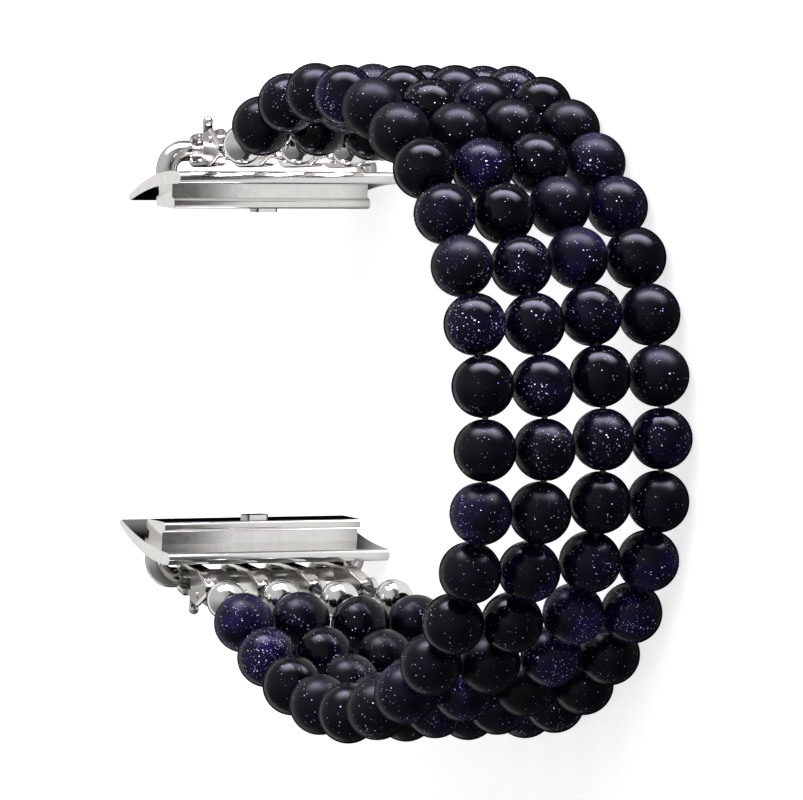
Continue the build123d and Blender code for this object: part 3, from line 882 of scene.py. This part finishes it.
class BAND_OT_stage(bpy.types.Operator):
    """Make the floor, the lamps, the sky and the camera"""

    bl_idname = "band.stage"
    bl_label = "Stage"

    def execute(self, context):
        stage = settings("band_stage")
        self.floor(stage)
        self.sky(stage)
        self.lamps(stage)
        self.camera(stage)
        context.scene.view_settings.view_transform = "Standard"
        return {"FINISHED"}

    def floor(self, stage):
        """A wide pale floor that shows white to the camera and keeps the band's shadow."""
        half = stage.floor_size
        corners = np.array([[-half, -half, 0], [half, -half, 0], [half, half, 0], [-half, half, 0]])
        mesh = mesh_from_arrays("floor", corners, np.array([[0, 1, 2, 3]]))
        floor = bpy.data.objects.new("floor", mesh)
        bpy.context.scene.collection.objects.link(floor)
        material, tree, shader = new_material("pale_floor")
        shader.inputs["Roughness"].default_value = FLOOR_ROUGHNESS
        rays = node(tree, "ShaderNodeLightPath")
        mirrored = mirrored_rays(tree, rays)
        colour = colour_mix(tree, mirrored, stage.floor_colour, (0, 0, 0))
        link(tree, colour, shader.inputs["Base Color"])
        seen = maths(tree, "MULTIPLY", rays.outputs["Is Camera Ray"], stage.floor_seen)
        lift = maths(tree, "ADD", seen, maths(tree, "MULTIPLY", mirrored, stage.floor_mirrored))
        shader.inputs["Emission Color"].default_value = (1, 1, 1, 1)
        link(tree, lift, shader.inputs["Emission Strength"])
        place = node(tree, "ShaderNodeSeparateXYZ")
        link(tree, node(tree, "ShaderNodeTexCoord").outputs["Object"], place.inputs["Vector"])
        middle, half_length, half_width = stage.floor_patch
        along = maths(tree, "ABSOLUTE", maths(tree, "SUBTRACT", place.outputs["X"], middle))
        across = maths(tree, "ABSOLUTE", place.outputs["Y"])
        past_end = self.past(tree, along, half_length, PATCH_SOFT_LENGTH)
        past_side = self.past(tree, across, half_width, PATCH_SOFT_WIDTH)
        outside = maths(tree, "MAXIMUM", past_end, past_side)
        share = node(tree, "ShaderNodeMixShader")
        link(tree, maths(tree, "MULTIPLY", outside, mirrored), share.inputs["Fac"])
        link(tree, shader.outputs["BSDF"], share.inputs[1])
        link(tree, node(tree, "ShaderNodeBsdfTransparent").outputs["BSDF"], share.inputs[2])
        link(tree, share.outputs["Shader"], tree.nodes["Material Output"].inputs["Surface"])
        mesh.materials.append(material)

    def past(self, tree, value, edge, softness):
        """A share that goes from zero to one over an edge, soft by a share of it each way."""
        return ramp(tree, value, edge * (1 - softness), edge * (1 + softness))

    def sky(self, stage):
        """White to the camera, an even soft light on everything, and in gloss a dim room with a white
        backdrop at the left, a strip lamp over the band that fades towards the camera, and dark behind."""
        world = bpy.data.worlds.new("studio")
        bpy.context.scene.world = world
        world.use_nodes = True
        tree = world.node_tree
        ground = tree.nodes["Background"]
        direction = node(tree, "ShaderNodeTexCoord").outputs["Generated"]
        right, up, forward = self.view_ways(stage)
        aside, above, near = (self.part_along(tree, direction, way) for way in (right, up, -forward))
        turn = maths(tree, "ARCTAN2", aside, above)
        turn = maths(tree, "ABSOLUTE", maths(tree, "SUBTRACT", turn, STRIP_TURN))
        strip = self.within(tree, near, STRIP_FAR_EDGES, STRIP_NEAR_EDGES)
        strip = maths(tree, "MULTIPLY", strip, ramp(tree, turn, *STRIP_TURN_EDGES))
        card = self.within(tree, near, CARD_FAR_EDGES, CARD_NEAR_EDGES)
        card = maths(tree, "MULTIPLY", card, ramp(tree, aside, *CARD_ASIDE_EDGES))
        level = self.fading(tree, aside, ROOM_ASIDE_EDGES, ROOM_ASIDE_LEFT)
        level = maths(tree, "MULTIPLY", level, self.fading(tree, above, ROOM_ABOVE_EDGES, ROOM_ABOVE_LEFT))
        level = maths(tree, "MULTIPLY", level, ramp(tree, near, *ROOM_FAR_EDGES))
        room = maths(tree, "MULTIPLY", level, stage.gloss_level)
        room = maths(tree, "MAXIMUM", room, maths(tree, "MULTIPLY", card, stage.gloss_card))
        room = maths(tree, "ADD", room, maths(tree, "MULTIPLY", strip, stage.gloss_strip))
        rays = node(tree, "ShaderNodeLightPath")
        seen, mirrored = rays.outputs["Is Camera Ray"], mirrored_rays(tree, rays)
        even = maths(tree, "MULTIPLY", maths(tree, "SUBTRACT", 1.0, mirrored), stage.sky_level)
        dim = maths(tree, "ADD", maths(tree, "MULTIPLY", mirrored, room), even)
        dim = maths(tree, "MULTIPLY", dim, maths(tree, "SUBTRACT", 1.0, seen))
        link(tree, maths(tree, "ADD", dim, seen), ground.inputs["Strength"])
        strip_seen = maths(tree, "MULTIPLY", strip, mirrored)
        link(tree, colour_mix(tree, strip_seen, (1, 1, 1), STRIP_COLOUR), ground.inputs["Color"])

    def view_ways(self, stage):
        """The ways to the right, up and forward in the picture, square to each other."""
        forward = Vector(stage.camera_forward).normalized()
        right = forward.cross(Vector(stage.camera_up)).normalized()
        return right, right.cross(forward), forward

    def within(self, tree, value, rising, falling):
        """A share that is full between two soft edges."""
        return maths(tree, "MULTIPLY", ramp(tree, value, *rising), ramp(tree, value, *falling))

    def fading(self, tree, value, edges, left):
        """A brightness that goes smoothly from what is left of it to its full level of one."""
        return maths(tree, "ADD", maths(tree, "MULTIPLY", ramp(tree, value, *edges), 1 - left), left)

    def part_along(self, tree, direction, way):
        """How far a direction goes along a way, as their dot product."""
        made = node(tree, "ShaderNodeVectorMath", operation="DOT_PRODUCT")
        link(tree, direction, made.inputs[0])
        made.inputs[1].default_value = way
        return made.outputs["Value"]

    def lamps(self, stage):
        """A large soft box above and to the left, and a weak fill from below. Mirrors and glass show
        the surroundings instead of the lamps."""
        right, up, forward = self.view_ways(stage)
        centre = (Vector(CAD_BOX[0]) + Vector(CAD_BOX[1])) / 2
        for name, ((rise, nearer, left), distance, size, colour) in LAMPS.items():
            way = rise * up - nearer * forward - left * right
            radiance = getattr(stage, f"{name}_radiance")
            self.soft_box(name, centre, way, right, distance, size, radiance, colour)

    def soft_box(self, name, centre, way, long_side, distance, size, radiance, colour):
        """A rectangular lamp that faces the band, with its long side along a direction."""
        length, width = size
        light = bpy.data.lights.new(name, "AREA")
        light.shape = "RECTANGLE"
        light.size, light.size_y = length, width
        light.energy = radiance * length * width * math.pi
        light.color = colour
        lamp = bpy.data.objects.new(name, light)
        bpy.context.scene.collection.objects.link(lamp)
        lamp.visible_camera = False
        lamp.visible_glossy = False
        back = way.normalized()
        across = (long_side - back * long_side.dot(back)).normalized()
        rest = back.cross(across)
        turn = Matrix((across, rest, back)).transposed()
        lamp.matrix_world = Matrix.Translation(centre + back * distance) @ turn.to_4x4()

    def camera(self, stage):
        """The camera of the picture: its place, its direction and its focal length."""
        data = bpy.data.cameras.new("camera")
        data.sensor_width = SENSOR_WIDTH
        data.lens = stage.focal_pixels / stage.picture_width * data.sensor_width
        data.clip_end = VIEW_DEPTH
        camera = bpy.data.objects.new("camera", data)
        bpy.context.scene.collection.objects.link(camera)
        right, up, forward = self.view_ways(stage)
        turn = Matrix((right, up, -forward)).transposed()
        camera.matrix_world = Matrix.Translation(Vector(stage.camera_place)) @ turn.to_4x4()
        bpy.context.scene.camera = camera


class BAND_PT_sidebar(bpy.types.Panel):
    """Lists the steps that dress the band"""

    bl_idname = "BAND_PT_sidebar"
    bl_label = "Bead Band"
    bl_space_type = "VIEW_3D"
    bl_region_type = "UI"
    bl_category = "Bead Band"

    def draw(self, context):
        for operator in OPERATORS:
            self.layout.operator(operator.bl_idname)
        for group in PROPERTY_GROUPS:
            held = getattr(context.scene, group)
            for name in held.bl_rna.properties.keys():
                if name not in ("rna_type", "name"):
                    self.layout.prop(held, name)


OPERATORS = (BAND_OT_stone_beads, BAND_OT_silver_beads, BAND_OT_elastic, BAND_OT_fittings,
             BAND_OT_coil_springs, BAND_OT_stage)
PROPERTY_GROUPS = {
    "band_beads": BandBeadSettings, "band_metal": BandMetalSettings, "band_stage": BandStageSettings,
}


def register():
    """Registers every class and hangs the settings on the scene."""
    for name, group in PROPERTY_GROUPS.items():
        bpy.utils.register_class(group)
        setattr(bpy.types.Scene, name, PointerProperty(type=group))
    for made in (*OPERATORS, BAND_PT_sidebar):
        bpy.utils.register_class(made)


def unregister():
    """Takes the classes and the settings away again."""
    for made in reversed((*OPERATORS, BAND_PT_sidebar)):
        bpy.utils.unregister_class(made)
    for name, group in PROPERTY_GROUPS.items():
        delattr(bpy.types.Scene, name)
        bpy.utils.unregister_class(group)


def main():
    """Makes every piece in order."""
    register()
    for operator in OPERATORS:
        group, name = operator.bl_idname.split(".")
        getattr(getattr(bpy.ops, group), name)()


if __name__ == "__main__":
    main()
